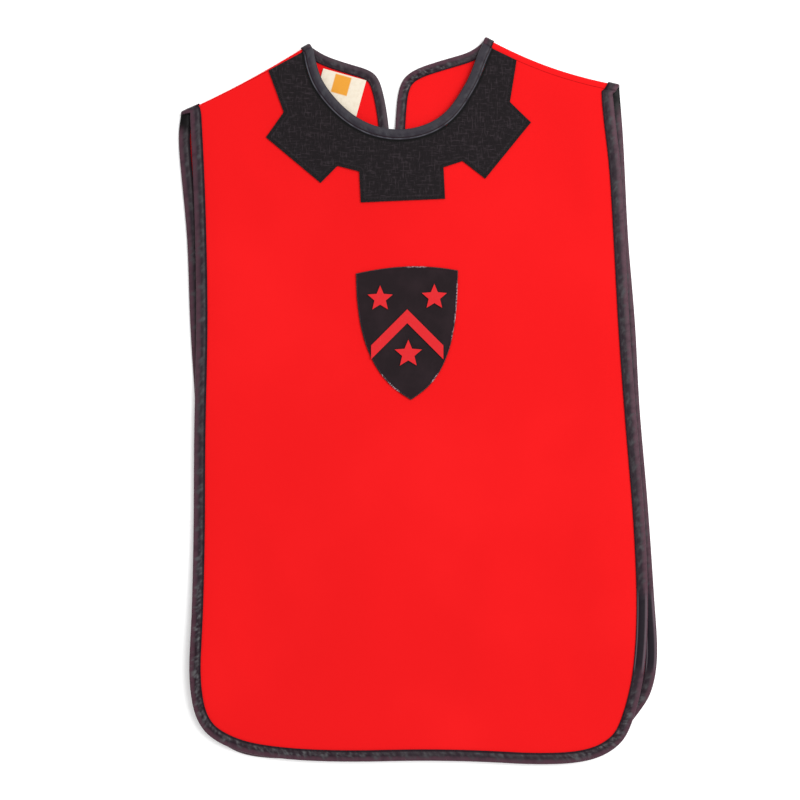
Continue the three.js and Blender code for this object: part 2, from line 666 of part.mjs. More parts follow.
function shieldShape() {
  const shape = new THREE.Shape();
  shape.moveTo(SHIELD.left, SHIELD.leftTop);
  shape.bezierCurveTo(
    SHIELD.left, SHIELD.waist, SHIELD.leftHip, SHIELD.hipY, SHIELD.tipX, SHIELD.tipY,
  );
  shape.bezierCurveTo(
    SHIELD.rightHip, SHIELD.hipY, SHIELD.right, SHIELD.waist, SHIELD.right, SHIELD.rightTop,
  );
  shape.quadraticCurveTo(SHIELD.crownX, SHIELD.crownY, SHIELD.left, SHIELD.leftTop);
  return shape;
}

function chevronShape() {
  const { x, apex, reach, drop, arm } = CHEVRON;
  return new THREE.Shape([
    vector(x, apex), vector(x - reach, apex - drop), vector(x - reach, apex - drop - arm),
    vector(x, apex - arm), vector(x + reach, apex - drop - arm), vector(x + reach, apex - drop),
  ]);
}

function starShape({ x, y, radius }) {
  return new THREE.Shape(Array.from({ length: 2 * STAR_POINTS }, (_, k) => {
    const angle = Math.PI / 2 + (k * Math.PI) / STAR_POINTS;
    const reach = k % 2 ? radius * STAR_WAIST : radius;
    return vector(x + reach * Math.cos(angle), y + reach * Math.sin(angle));
  }));
}

function labelShape() {
  const turn = degToRad(LABEL.tilt);
  const corner = vector(LABEL.x, LABEL.y);
  const wide = vector(Math.cos(turn), Math.sin(turn)).multiplyScalar(LABEL.width);
  const deep = vector(Math.sin(turn), -Math.cos(turn)).multiplyScalar(LABEL.length);
  return new THREE.Shape([
    corner, corner.clone().add(deep), corner.clone().add(deep).add(wide), corner.clone().add(wide),
  ]);
}

// ---- The garment ----------------------------------------------------------------------------------

const garment = new THREE.Group();

function sew(name, geometry, finish) {
  const piece = new THREE.Mesh(geometry, new THREE.MeshStandardMaterial(finish));
  piece.name = name;
  garment.add(piece);
}

const [frontLeft, frontRight] = FRONT_HALVES;
const [backLeft, backRight] = BACK_HALVES;
const patchFace = PANEL_FACE + PATCH_WALL + PIECE_GAP;

const back = panel(BACK_HALVES, BACK_ROWS);
const front = panel(FRONT_HALVES, FRONT_ROWS);
const frontNeck = joined(frontLeft.neckEdge, frontRight.neckEdge);

sew('back_panel', back.geometry, RED_CLOTH);
sew('back_edge_binding', binding('back', wholeEdge(BACK_HALVES), TAPE_WALL), BLACK_TAPE);
sew('back_neck_binding_left', binding('back', backLeft.neckEdge, TAPE_WALL), BLACK_TAPE);
sew('back_neck_binding_right', binding('back', backRight.neckEdge, TAPE_WALL), BLACK_TAPE);
sew('neck_label', applique(back, labelShape(), LABEL.step, PANEL_FACE, PANEL_FACE + LABEL_WALL), CREAM_LABEL);
sew('front_panel', front.geometry, RED_CLOTH);
sew('front_edge_binding', binding('front', wholeEdge(FRONT_HALVES), TAPE_WALL), BLACK_TAPE);
sew('front_neck_binding', binding('front', frontNeck, NECK_TAPE_TOP_WALL), BLACK_TAPE);
sew('collar', collar(front), BLACK_LINEN);
sew('shield_patch', applique(
  front, shieldShape(), SHIELD_STEP, PANEL_FACE, PANEL_FACE + PATCH_WALL,
), BLACK_SATIN);
sew('chevron', applique(front, chevronShape(), FIGURE_STEP, patchFace, patchFace + FIGURE_WALL), RED_FIGURE);
for (const star of STARS) {
  const figure = applique(front, starShape(star), FIGURE_STEP, patchFace, patchFace + FIGURE_WALL);
  sew(star.name, figure, RED_FIGURE);
}

// The origin is under the middle of the whole garment, on the surface it lies on.
const box = new THREE.Box3().setFromObject(garment);
const centre = box.getCenter(new THREE.Vector3());
garment.position.set(-centre.x, -centre.y, -box.min.z);

export default garment;
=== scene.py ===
import math

import bmesh
import bpy
import numpy as np
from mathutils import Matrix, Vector
from mathutils.kdtree import KDTree


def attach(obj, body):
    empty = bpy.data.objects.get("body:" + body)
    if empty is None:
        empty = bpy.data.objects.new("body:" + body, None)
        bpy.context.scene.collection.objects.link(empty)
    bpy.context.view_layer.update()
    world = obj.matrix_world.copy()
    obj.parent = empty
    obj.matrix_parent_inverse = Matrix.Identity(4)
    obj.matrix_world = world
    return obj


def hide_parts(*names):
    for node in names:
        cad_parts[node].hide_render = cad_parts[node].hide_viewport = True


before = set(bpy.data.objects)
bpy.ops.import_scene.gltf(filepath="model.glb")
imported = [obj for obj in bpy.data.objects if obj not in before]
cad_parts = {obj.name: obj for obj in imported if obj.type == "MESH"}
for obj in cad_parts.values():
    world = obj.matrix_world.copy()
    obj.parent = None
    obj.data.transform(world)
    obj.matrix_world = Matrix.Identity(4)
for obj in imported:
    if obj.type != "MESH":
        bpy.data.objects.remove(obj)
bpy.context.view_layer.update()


# ---- The table it lies on, the camera and the lights ------------------------------------------------
# A plain white table, faintly lit from within, under one large soft lamp up and to the right, with the
# room's own light filling the shadows. The camera looks straight down, with the garment a little right
# of the middle of its view.

VIEW_WIDTH = 0.753
VIEW_MIDDLE = (-0.0171, 0.0004)
CLOTH_TOP = 0.004
LENS = 85
SENSOR = 36


def placed(name, data):
    """A thing made of this data, put in the scene."""
    thing = bpy.data.objects.new(name, data)
    bpy.context.scene.collection.objects.link(thing)
    return thing


camera = placed("camera", bpy.data.cameras.new("camera"))
camera.data.lens = LENS
camera.data.sensor_width = SENSOR
camera.location = (*VIEW_MIDDLE, CLOTH_TOP + VIEW_WIDTH * LENS / SENSOR)
bpy.context.scene.camera = camera
bpy.context.scene.view_settings.view_transform = "Standard"


class Value:
    """A socket's value in a material. Sums, products and comparisons of values add maths nodes."""

    def __init__(self, finish, socket):
        self.finish = finish
        self.socket = socket

    def maths(self, operation, *operands):
        return self.finish.add("ShaderNodeMath", {"operation": operation}, dict(enumerate(operands)))

    def __add__(self, other):
        return self.maths("ADD", self, other)

    def __sub__(self, other):
        return self.maths("SUBTRACT", self, other)

    def __rsub__(self, other):
        return self.maths("SUBTRACT", other, self)

    def __mul__(self, other):
        return self.maths("MULTIPLY", self, other)

    def __abs__(self):
        return self.maths("ABSOLUTE", self)

    def wave(self, length):
        """Runs from -1 to 1 and back over each length of this value."""
        return self.maths("SINE", self * (2 * math.pi / length))

    def step(self, low, high):
        """Eases from 0 at low to 1 at high."""
        inputs = {"Value": self, "From Min": low, "From Max": high}
        return self.finish.add("ShaderNodeMapRange", {"interpolation_type": "SMOOTHSTEP"}, inputs)

    __radd__ = __add__
    __rmul__ = __mul__


class Finish:
    """A material being made. Every node but the maths comes from add, with its settings set first."""

    def __init__(self, name, **constants):
        self.material = bpy.data.materials.new(name)
        self.material.use_nodes = True
        self.tree = self.material.node_tree
        self.shader = self.tree.nodes["Principled BSDF"]
        for socket, value in constants.items():
            self.shader.inputs[socket.replace("_", " ").title().replace("Ior", "IOR")].default_value = value

    def add(self, kind, settings=None, inputs=None, output=0):
        node = self.tree.nodes.new(kind)
        for name, value in (settings or {}).items():
            setattr(node, name, value)
        for name, value in (inputs or {}).items():
            if isinstance(value, Value):
                self.tree.links.new(value.socket, node.inputs[name])
            else:
                node.inputs[name].default_value = value
        return Value(self, node.outputs[output])

    def point(self):
        """Where a point of the surface is, in metres, on the garment's own axes."""
        return self.add("ShaderNodeTexCoord", output="Object")

    def across_and_up(self, point):
        """How far across the garment a point is, and how far up towards the neck."""
        return [self.add("ShaderNodeSeparateXYZ", inputs={"Vector": point}, output=k) for k in range(2)]

    def kept(self, attribute):
        """A value that the piece's mesh keeps at each of its points."""
        return self.add("ShaderNodeAttribute", {"attribute_name": attribute}, output="Fac")

    def stretched(self, point, x, y, z):
        return self.add("ShaderNodeVectorMath", {"operation": "MULTIPLY"}, {0: point, 1: (x, y, z)})

    def noise(self, point, scale, detail=2.0, roughness=0.5):
        inputs = {"Vector": point, "Scale": scale, "Detail": detail, "Roughness": roughness}
        return self.add("ShaderNodeTexNoise", inputs=inputs)

    def mix(self, share, low, high):
        """A colour that goes from low to high as share goes from 0 to 1."""
        inputs = {0: share, 6: low if isinstance(low, Value) else (*low, 1), 7: (*high, 1)}
        return self.add("ShaderNodeMix", {"data_type": "RGBA"}, inputs, output=2)

    def bump(self, height, depth, strength=1.0):
        inputs = {"Height": height, "Distance": depth, "Strength": strength}
        return self.add("ShaderNodeBump", inputs=inputs)

    def finished(self, **links):
        for name, value in links.items():
            self.tree.links.new(value.socket, self.shader.inputs[name.replace("_", " ").title()])
        return self.material


TABLE_SIZE = 6
TABLE_WHITE = (0.95, 0.95, 0.95, 1)
TABLE_GLOW = 0.14

table_mesh = bpy.data.meshes.new("table")
corners = [(x * TABLE_SIZE / 2, y * TABLE_SIZE / 2, 0) for x, y in [(-1, -1), (1, -1), (1, 1), (-1, 1)]]
table_mesh.from_pydata(corners, [], [(0, 1, 2, 3)])
table = placed("table", table_mesh)
table_mesh.materials.append(Finish(
    "table_white", base_color=TABLE_WHITE, roughness=0.9,
    emission_color=TABLE_WHITE, emission_strength=TABLE_GLOW,
).finished())

# The lamp's place, its width, its watts and the strength of the room's light.
LAMP_AT = Vector((1.25, 0.70, 2.05))
LAMP_WIDTH = 1.8
LAMP_POWER = 59
ROOM_LIGHT = 0.80

lamp = placed("lamp", bpy.data.lights.new("lamp", "AREA"))
lamp.data.size = LAMP_WIDTH
lamp.data.energy = LAMP_POWER
lamp.location = LAMP_AT
lamp.rotation_euler = (-LAMP_AT).to_track_quat("-Z", "Y").to_euler()

room = bpy.data.worlds.new("room")
room.use_nodes = True
room.node_tree.nodes["Background"].inputs["Color"].default_value = (1, 1, 1, 1)
room.node_tree.nodes["Background"].inputs["Strength"].default_value = ROOM_LIGHT
bpy.context.scene.world = room


# ---- Back and front panels --------------------------------------------------------------------------
# Smooth, closely woven red polyester cotton, cut to one pattern for back and front. The back runs over
# the shoulders to seams just on the front side, and the front lies on it in long soft folds.

SHARP_EDGE = math.radians(43)
SKEWED_FACET = math.radians(60)
SAME_POINT = 1e-6


def finer_copy(node, name, levels):
    """A finer mesh of a solid's form: its facets rounded off, its cut edges and corners kept."""
    shape = bmesh.new()
    shape.from_mesh(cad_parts[node].data)
    bmesh.ops.remove_doubles(shape, verts=shape.verts, dist=SAME_POINT)
    crease = shape.edges.layers.float.new("crease_edge")
    for edge in shape.edges:
        edge.smooth = edge.calc_face_angle() < SHARP_EDGE
        edge[crease] = 0 if edge.smooth else 1
    bmesh.ops.join_triangles(
        shape, faces=shape.faces, cmp_sharp=True,
        angle_face_threshold=SHARP_EDGE, angle_shape_threshold=SKEWED_FACET,
    )
    mesh = bpy.data.meshes.new(name)
    shape.to_mesh(mesh)
    shape.free()
    piece = placed(name, mesh)
    modifier = piece.modifiers.new("finer", "SUBSURF")
    modifier.levels = modifier.render_levels = levels
    bpy.context.view_layer.update()
    finer = piece.evaluated_get(bpy.context.evaluated_depsgraph_get())
    piece.data = bpy.data.meshes.new_from_object(finer)
    piece.modifiers.clear()
    piece.data.materials.clear()
    return piece


def points_of(mesh):
    points = np.zeros(len(mesh.vertices) * 3)
    mesh.vertices.foreach_get("co", points)
    return points.reshape(-1, 3)


def ease(x, low, high):
    """0 below low, 1 above high, and a soft step between them."""
    share = np.clip((x - low) / (high - low), 0, 1)
    return share * share * (3 - 2 * share)


# Creases a hand would leave: where each starts and ends, how wide it is and how high, in metres.
CREASES = [
    {"start": (-0.168, 0.262), "end": (-0.128, 0.150), "width": 0.013, "height": 0.0007},
    {"start": (-0.198, 0.215), "end": (-0.150, 0.060), "width": 0.016, "height": 0.0006},
    {"start": (0.168, 0.270), "end": (0.150, 0.120), "width": 0.014, "height": 0.0008},
    {"start": (0.120, 0.255), "end": (0.160, 0.050), "width": 0.019, "height": 0.0005},
    {"start": (-0.060, 0.165), "end": (-0.098, 0.020), "width": 0.017, "height": 0.0006},
    {"start": (0.052, 0.150), "end": (0.088, -0.030), "width": 0.018, "height": 0.0005},
    {"start": (-0.150, -0.060), "end": (-0.120, -0.250), "width": 0.020, "height": 0.0008},
    {"start": (-0.030, -0.080), "end": (-0.046, -0.290), "width": 0.022, "height": 0.0007},
    {"start": (0.070, -0.110), "end": (0.052, -0.300), "width": 0.018, "height": 0.0009},
    {"start": (0.162, -0.070), "end": (0.172, -0.240), "width": 0.017, "height": 0.0007},
    {"start": (-0.182, -0.190), "end": (-0.150, -0.300), "width": 0.012, "height": 0.0008},
    {"start": (0.120, -0.215), "end": (0.150, -0.310), "width": 0.013, "height": 0.0007},
    {"start": (-0.185, -0.090), "end": (-0.070, -0.140), "width": 0.020, "height": 0.0004},
    {"start": (0.020, 0.010), "end": (0.130, -0.045), "width": 0.024, "height": 0.0004},
]
CREASE_WANDER = 0.006
CREASE_FADE_IN = 0.4
CREASE_FADE_OUT = 0.55
CREASE_SHIFT = 40

# The lower left edge curls up off the table. This is the curl's middle, how far it reaches in from the edge
# and along it, and its height.
CURL = {"x": -0.214, "y": -0.245, "reach_in": 0.034, "reach_along": 0.080, "height": 0.0062}


def curl_height(points):
    away_in = (points[:, 0] - CURL["x"]) / CURL["reach_in"]
    away_along = (points[:, 1] - CURL["y"]) / CURL["reach_along"]
    return CURL["height"] * np.exp(-away_in ** 2 - away_along ** 2)


def crease_height(points):
    height = curl_height(points)
    for crease in CREASES:
        start, end = np.array(crease["start"]), np.array(crease["end"])
        run = end - start
        length = np.linalg.norm(run)
        away = points[:, :2] - start
        along = away @ run / length
        across = (away[:, 1] * run[0] - away[:, 0] * run[1]) / length
        across = across + CREASE_WANDER * np.sin(along * 2 * math.pi / length + start[0] * CREASE_SHIFT)
        fade = ease(along, 0, length * CREASE_FADE_IN) * ease(length - along, 0, length * CREASE_FADE_OUT)
        height += crease["height"] * fade * np.exp(-((across / crease["width"]) ** 2))
    return height


# The front's neck edge is pulled open a little. This is the middle of its curve and how far the cloth moves
# away from it: in full near the neck edge, and not at all past the collar's notches or up at the shoulders.
NECK_PULL = {
    "x": -0.0218, "y": 0.3337, "length": 0.0022,
    "full_within": 0.088, "none_past": 0.120, "none_above": 0.006, "full_below": 0.035,
}


def pull_neck(piece):
    """Moves the part of a front piece that lies near the neck edge outward from the opening."""
    points = points_of(piece.data)
    away = points[:, :2] - np.array((NECK_PULL["x"], NECK_PULL["y"]))
    far = np.linalg.norm(away, axis=1)
    share = 1 - ease(far, NECK_PULL["full_within"], NECK_PULL["none_past"])
    share *= ease(-away[:, 1], NECK_PULL["none_above"], NECK_PULL["full_below"])
    points[:, :2] += away * (NECK_PULL["length"] * share / far)[:, None]
    piece.data.vertices.foreach_set("co", points.ravel())


def lay(piece, height=crease_height):
    """Lifts a piece of the front where the creases under it rise, or a piece of the back where it curls."""
    points = points_of(piece.data)
    points[:, 2] += height(points)
    piece.data.vertices.foreach_set("co", points.ravel())
    piece.data.update()


def dress(piece, material, slot, *nodes):
    """Gives a piece its cloth and its place on the garment, and says which solids it stands for."""
    piece.data.materials.append(material)
    piece.data.shade_smooth()
    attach(piece, "root")
    if nodes:
        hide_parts(*nodes)


RED = (0.66, 0.0066, 0.0080)
RED_LIT = (0.69, 0.0078, 0.0092)
RED_DEEP = (0.60, 0.0056, 0.0066)
YARN = 0.00042

red = Finish("red_cloth", roughness=0.82, specular_ior_level=0.05, sheen_weight=0.01, sheen_roughness=0.5)
point = red.point()
x, y = red.across_and_up(point)
cloud = red.noise(point, 6, 3)
fleck = red.noise(red.stretched(point, 1, 0.22, 1), 2600, 2)
yarns = abs(x.wave(2 * YARN)) * abs(y.wave(2 * YARN))
colour = red.mix(cloud.step(0.42, 0.72), RED, RED_LIT)
colour = red.mix(fleck.step(0.56, 0.8) * 0.35, colour, RED_DEEP)
red.finished(
    base_color=colour, roughness=0.86 - cloud * 0.1,
    normal=red.bump(yarns + fleck * 0.6, 0.00012, 0.5),
)

PANEL_LEVELS = 2

back_cloth = finer_copy("back_panel", "back_cloth", PANEL_LEVELS)
front_cloth = finer_copy("front_panel", "front_cloth", PANEL_LEVELS)
pull_neck(front_cloth)
lay(back_cloth, curl_height)
lay(front_cloth)
dress(back_cloth, red.material, "red_cloth", "back_panel")
dress(front_cloth, red.material, "red_cloth", "front_panel")


# ---- Bindings ---------------------------------------------------------------------------------------
# Ready-made satin bias tape, charcoal black, folded over every raw edge and caught through all layers
# by one line of machine stitches near its inner edge. It puckers between the stitches and the fold.

class Wall:
    """A piece of cloth as two skins: the closed line round its cut edge, and its corners."""

    def __init__(self, piece):
        self.shape = bmesh.new()
        self.shape.from_mesh(piece.data)
        self.shape.normal_update()
        sharp = {edge for edge in self.shape.edges if edge.calc_face_angle() > SHARP_EDGE}
        by_size = sorted(self.smooth_areas(sharp), key=lambda faces: -sum(face.calc_area() for face in faces))
        skins = by_size[:2]
        skins.sort(key=lambda faces: -sum(face.normal.z * face.calc_area() for face in faces))
        self.upper, self.lower = [self.rim(faces) for faces in skins]
        self.corners = [vert.co for vert in self.upper if len(sharp & set(vert.link_edges)) > 2]

    def smooth_areas(self, sharp):
        left = set(self.shape.faces)
        while left:
            area = {left.pop()}
            edge_faces = list(area)
            while edge_faces:
                face = edge_faces.pop()
                beside = {f for edge in face.edges if edge not in sharp for f in edge.link_faces} & left
                left -= beside
                area |= beside
                edge_faces.extend(beside)
            yield area

    @staticmethod
    def rim(faces):
        """The verts round an area, in order, with the area on their left seen from outside."""
        after = {}
        for face in faces:
            for loop in face.loops:
                if not all(f in faces for f in loop.edge.link_faces):
                    after[loop.vert] = loop.link_loop_next.vert
        line = [min(after, key=lambda vert: (vert.co.y, vert.co.x))]
        while after[line[-1]] is not line[0]:
            line.append(after[line[-1]])
        return line


def run_along(points):
    return np.concatenate([[0], np.cumsum(np.linalg.norm(np.diff(points, axis=0), axis=1))])


def spaced(step, *lines):
    """Lines of points again, evenly spaced along the first of them."""
    along = run_along(lines[0])
    at = np.linspace(0, along[-1], max(3, round(along[-1] / step)))
    return [np.stack([np.interp(at, along, line[:, k]) for k in range(3)], axis=1) for line in lines]


def unit(vectors):
    return vectors / np.linalg.norm(vectors, axis=-1, keepdims=True)


def softened(points, reach):
    """Each point moved to the mean of its neighbours within reach, with the ends continued."""
    padded = np.concatenate([np.repeat(points[:1], reach, 0), points, np.repeat(points[-1:], reach, 0)])
    return sum(padded[k:k + len(points)] for k in range(2 * reach + 1)) / (2 * reach + 1)


def bound_edges(wall):
    """The stretches of a panel's cut edge between its corners: middle points, and the way up through it."""
    upper = np.array([vert.co for vert in wall.upper])
    lower_tree = KDTree(len(wall.lower))
    for k, vert in enumerate(wall.lower):
        lower_tree.insert(vert.co, k)
    lower_tree.balance()
    lower = np.array([lower_tree.find(vert.co)[0] for vert in wall.upper])
    turns = sorted(int(np.linalg.norm(upper - np.array(corner), axis=1).argmin()) for corner in wall.corners)
    stretches = []
    for start, end in zip(turns, turns[1:] + [turns[0] + len(upper)]):
        picked = np.arange(start, end + 1) % len(upper)
        stretches.append(((upper[picked] + lower[picked]) / 2, unit(upper[picked] - lower[picked])))
    return stretches


FOLD_OVER = 0.0017
TAPE_STEP = 0.0016
TAPE_TOP = 0.0019
TAPE_CROWN = 0.00018
TAPE_LIFT = 0.00066
TAPE_NOSE = 0.0017
TOP_SHARES = (1, 0.97, 0.92, 0.86, 0.8, 0.72, 0.62, 0.5, 0.38, 0.28)
NOSE_TURNS = (90, 64, 38, 14, 0, -14, -38, -64, -90)
NOSE_TURNS_UP = 4
NOSE_SHARE = 0.16
UNDER_SHARES = (0.35, 0.65, 1)
INNER_FACE = ((1, -1), (0, -1), (0, 0), (0, 1), (1, 1))
SEAM_HOLD = 0.003
SEAM_TURN = 0.014
SEAM_LAP = 0.0006
SEAM_EVEN = 0.012
TANGENT_REACH = 3
SEAM_REACH = 3

# The tape's puckers: how long each kind is, how high, how far it slants and where it starts.
PUCKERS = [
    {"length": 0.0071, "height": 0.00015, "slant": 0.30, "start": 0.0},
    {"length": 0.0113, "height": 0.00018, "slant": -0.25, "start": 0.004},
    {"length": 0.0187, "height": 0.00012, "slant": 0.55, "start": 0.011},
    {"length": 0.0049, "height": 0.00009, "slant": 0.10, "start": 0.002},
]
PUCKER_GROUPS = {"mean": 0.62, "swing": 0.38, "length": 0.083, "drift": 0.031}
PUCKER_FADES = {"fold": (0.0004, 0.003), "rim": (-0.001, 0.002)}

# Where the tape is gathered more: the right corner of the slit, the lower corners and one part of the hem.
# Low on the right side it is pulled taut instead, so its gain is below 0.
GATHERS = [
    {"at": (0.0000, 0.3090), "reach": 0.019, "gain": 5.0},
    {"at": (-0.2100, -0.2400), "reach": 0.110, "gain": 0.9},
    {"at": (-0.0900, -0.3360), "reach": 0.070, "gain": 0.55},
    {"at": (0.1900, -0.3150), "reach": 0.060, "gain": 0.9},
    {"at": (0.2130, -0.2250), "reach": 0.046, "gain": -1.0},
]
STITCH_INSET = 0.0019
STITCH_DIP = 0.00042
STITCH_SPREAD = 0.0009
RIM_DROP = 0.0003


def keep(mesh, attribute, values):
    """Keeps a value at each point of a mesh, for its finish to use."""
    mesh.attributes.new(attribute, "FLOAT", "POINT").data.foreach_set("value", values.astype(np.float32))


def pucker_height(along, inset, width):
    """How high the puckers stand at an inset from the fold. They come and go in groups."""
    height = 0
    for kind in PUCKERS:
        turns = (along + kind["slant"] * inset + kind["start"]) / kind["length"]
        height = height + kind["height"] * np.sin(2 * math.pi * turns)
    swing = np.sin(2 * math.pi * along / PUCKER_GROUPS["length"]) * np.sin(along / PUCKER_GROUPS["drift"])
    groups = PUCKER_GROUPS["mean"] + PUCKER_GROUPS["swing"] * swing
    return height * groups * ease(inset, *PUCKER_FADES["fold"]) * ease(width - inset, *PUCKER_FADES["rim"])


def gather(points):
    """How much higher than elsewhere the puckers stand at points of a bound edge."""
    share = 1
    for place in GATHERS:
        far = np.linalg.norm(points[:, :2] - np.array(place["at"]), axis=1) / place["reach"]
        share = share + place["gain"] * np.exp(-far ** 2)
    return share


def tape_rows(along, widths, top, swell):
    """The folded tape's section, from its upper rim over the fold to its lower rim and back on the inside.

    Each row has its inset from the fold, its rise from the middle of the cloth and its share of the way
    across. swell is how much the puckers are raised at each place along the tape.
    """
    rows = []
    for share in TOP_SHARES:
        inset = TAPE_NOSE + (widths - TAPE_NOSE) * share
        dip = STITCH_DIP * np.exp(-(((widths - STITCH_INSET - inset) / STITCH_SPREAD) ** 2))
        rim = RIM_DROP * ease(inset, widths - STITCH_INSET, widths)
        crown = TAPE_CROWN * np.sin(math.pi * np.clip(inset / (widths - STITCH_INSET), 0, 1))
        bumps = swell * pucker_height(along, inset, widths)
        rows.append((inset, top - dip - rim + crown + bumps, share))
    for turn in NOSE_TURNS:
        inset = TAPE_NOSE * (1 - math.cos(math.radians(turn)))
        rise = math.sin(math.radians(turn))
        rows.append((inset, rise * (top if rise > 0 else TAPE_TOP), NOSE_SHARE * inset / TAPE_NOSE))
    for share in UNDER_SHARES:
        rows.append((TAPE_NOSE + (widths - TAPE_NOSE) * share, -TAPE_TOP, share))
    for share, rise in INNER_FACE:
        rows.append((FOLD_OVER + (widths - FOLD_OVER) * share, rise * TAPE_LIFT, share))
    return rows


def swept(name, rings):
    """A closed mesh through rings of points, none of them below the table."""
    rings[..., 2] = np.maximum(rings[..., 2], 0)
    count, ring = rings.shape[:2]
    quads = [
        (first + i, first + (i + 1) % ring, first + ring + (i + 1) % ring, first + ring + i)
        for first in range(0, (count - 1) * ring, ring) for i in range(ring)
    ]
    ends = [tuple(reversed(range(ring))), tuple(range((count - 1) * ring, count * ring))]
    mesh = bpy.data.meshes.new(name)
    mesh.from_pydata(rings.reshape(-1, 3).tolist(), [], quads + ends)
    return mesh


class Tape:
    """A folded tape swept round a bound edge, and the line that its stitches run along.

    seam_ways are the ways along the seams at its two ends. Where the tape widens to one end, flare says by
    how much and over what length. hollows are the lengths at its ends that lie in a fold's shadow, which is
    painted into its colour. plum and ridge are for its colour: how plum, rather than grey, the sheen painted
    along its fold is, and how clear the ridge beyond its stitches is, with its bluer tone, painted highlight
    and painted shade.
    """

    def __init__(self, name, line, seam_ways, width, flare=None, top=TAPE_TOP, puckers=1.0,
                 hollows=(0, 0), plum=1.0, ridge=0.0):
        middle, up = spaced(TAPE_STEP, *line)
        up = unit(up)
        middle[0] += unit(middle[0] - middle[1]) * SEAM_LAP
        middle[-1] += unit(middle[-1] - middle[-2]) * SEAM_LAP
        along = run_along(middle)
        from_ends = (along, along[-1] - along)
        ahead = unit(np.gradient(softened(middle, TANGENT_REACH), axis=0))
        inward = unit(np.cross(up, ahead))
        for way, far in zip(seam_ways, from_ends):
            if way is not None:
                share = 1 - ease(far, SEAM_HOLD, SEAM_HOLD + SEAM_TURN)[:, None]
                inward = unit(inward * (1 - share) + np.array(way) * share)
        edge = middle - inward * FOLD_OVER
        top = TAPE_TOP + (top - TAPE_TOP) * ease(np.minimum(*from_ends), 0, SEAM_EVEN)
        widths = np.full(len(along), width)
        if flare:
            widths += flare["more"] * (1 - ease(along, 0, flare["reach"]))
        rows = tape_rows(along, widths, top, puckers * gather(middle))
        count, ring = len(along), len(rows)
        mesh = swept(name, np.stack([
            edge + inward * np.broadcast_to(inset, count)[:, None]
            + up * np.broadcast_to(rise, count)[:, None]
            for inset, rise, _ in rows
        ], axis=1))
        shade = np.zeros(count)
        for far, reach in zip(from_ends, hollows):
            if reach:
                shade += 1 - ease(far, reach / 2, reach)
        faces_up = np.arange(ring) < len(TOP_SHARES) + NOSE_TURNS_UP
        keep(mesh, "along", np.repeat(along, ring))
        keep(mesh, "across", np.tile([share for _, _, share in rows], count))
        keep(mesh, "shade", np.outer(shade, faces_up).ravel())
        keep(mesh, "plum", np.full(count * ring, plum))
        keep(mesh, "ridge", np.full(count * ring, ridge))
        keep(mesh, "gathered", np.repeat(np.clip(gather(middle) - 1, -1, 1), ring))
        self.piece = placed(name, mesh)
        self.length = along[-1]
        self.up = up
        sewn = (widths - STITCH_INSET)[:, None]
        self.sewn = edge + inward * sewn + up * (top - STITCH_DIP)[:, None]


THREAD_SIDES = 5
THREAD_RINGS = (0.0, 0.16, 0.5, 0.84, 1.0)
THREAD_TAPER = 0.12
THREAD_SINK = 0.75
PITCH_START = 0.1
PITCH_LOOK = 0.2


def stitches(name, line, up, pitch, length, radius, across=None):
    """Machine stitches along a line, one joined mesh. With across, each one lies over the line instead."""
    run = run_along(line)
    steps = max(2, int(run[-1] / pitch))
    at = np.linspace(0, run[-1], steps + 1)[:-1] + pitch * PITCH_START

    def place(lines, where):
        return np.stack([np.interp(where, run, lines[:, k]) for k in range(3)], axis=1)

    points = []
    for share in THREAD_RINGS:
        full = math.sin(math.pi * (THREAD_TAPER + (1 - 2 * THREAD_TAPER) * share))
        if across is None:
            here = at + length * share
            centre = place(line, here)
            ahead = place(line, here + pitch * PITCH_LOOK) - place(line, here - pitch * PITCH_LOOK)
        else:
            centre = place(line, at) + place(across, at) * length * (share - 0.5)
            ahead = place(across, at)
        rise = unit(place(up, at))
        aside = unit(np.cross(unit(ahead), rise))
        centre = centre + rise * radius * (full - THREAD_SINK)
        for side in range(THREAD_SIDES):
            angle = 2 * math.pi * side / THREAD_SIDES
            points.append(centre + radius * full * (aside * math.cos(angle) + rise * math.sin(angle)))
    points = np.stack(points, axis=1)
    count = points.shape[1]
    faces = []
    for first in range(0, len(points) * count, count):
        for ring in range(len(THREAD_RINGS) - 1):
            for side in range(THREAD_SIDES):
                a = first + ring * THREAD_SIDES + side
                b = first + ring * THREAD_SIDES + (side + 1) % THREAD_SIDES
                faces.append((a, b, b + THREAD_SIDES, a + THREAD_SIDES))
        faces.append(tuple(first + k for k in reversed(range(THREAD_SIDES))))
        faces.append(tuple(first + count - THREAD_SIDES + k for k in range(THREAD_SIDES)))
    mesh = bpy.data.meshes.new(name)
    mesh.from_pydata(points.reshape(-1, 3).tolist(), [], faces)
    return placed(name, mesh)


SATIN = (0.0270, 0.0205, 0.0245)
SATIN_WRINKLE_SHADE = (0.0170, 0.0095, 0.0145)
SATIN_GREY_SHEEN = (0.0490, 0.0455, 0.0510)
SATIN_LIT = (0.0860, 0.0830, 0.0870)
SATIN_PLUM_SHEEN = (0.0680, 0.0280, 0.0410)
SATIN_SHADE = (0.0095, 0.0018, 0.0055)
SATIN_HOLLOW_SHADE = (0.0012, 0.0006, 0.0009)
SATIN_TAUT = (0.0085, 0.0055, 0.0095)
SATIN_LINE_SHEEN = (0.0900, 0.0660, 0.0800)
SATIN_RIDGE_HIGHLIGHT = (0.0640, 0.0640, 0.0760)
SATIN_BLUE = (0.0220, 0.0240, 0.0330)

